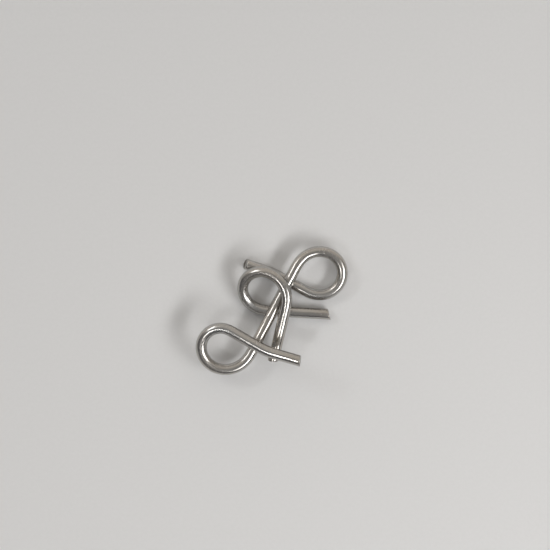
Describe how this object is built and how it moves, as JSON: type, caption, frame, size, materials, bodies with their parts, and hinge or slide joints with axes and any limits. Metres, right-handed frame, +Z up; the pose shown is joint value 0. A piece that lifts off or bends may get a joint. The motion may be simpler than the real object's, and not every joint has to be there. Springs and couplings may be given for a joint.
{
  "type": "wire disentanglement puzzle",
  "caption": "Two bent round wires hooked through each other: one with a straight shank between two open eyes, one with a single open eye and two crossed legs.",
  "frame": {"origin": "middle of the footprint, on the table that the two wires lie on", "axes": "+Z up from the table, +X along the longer side of the footprint, towards the free end of the single loop wire's first leg"},
  "size_m": [0.0488, 0.0414, 0.016],
  "materials": {
    "nickel_wire": "bright nickel plate on drawn steel wire, with light handling marks"
  },
  "bodies": {
    "double_loop_wire": {"double_loop_wire": "nickel_wire"},
    "single_loop_wire": {"single_loop_wire": "nickel_wire"}
  },
  "joints": [
    {"name": "swing_round_shank", "type": "hinge", "parent": "double_loop_wire", "child": "single_loop_wire", "pos_m": [0.00027, -0.00033, 0.00537], "axis": [0.4617, 0.8869, 0.0174], "range_deg": [-12, 104]}
  ]
}
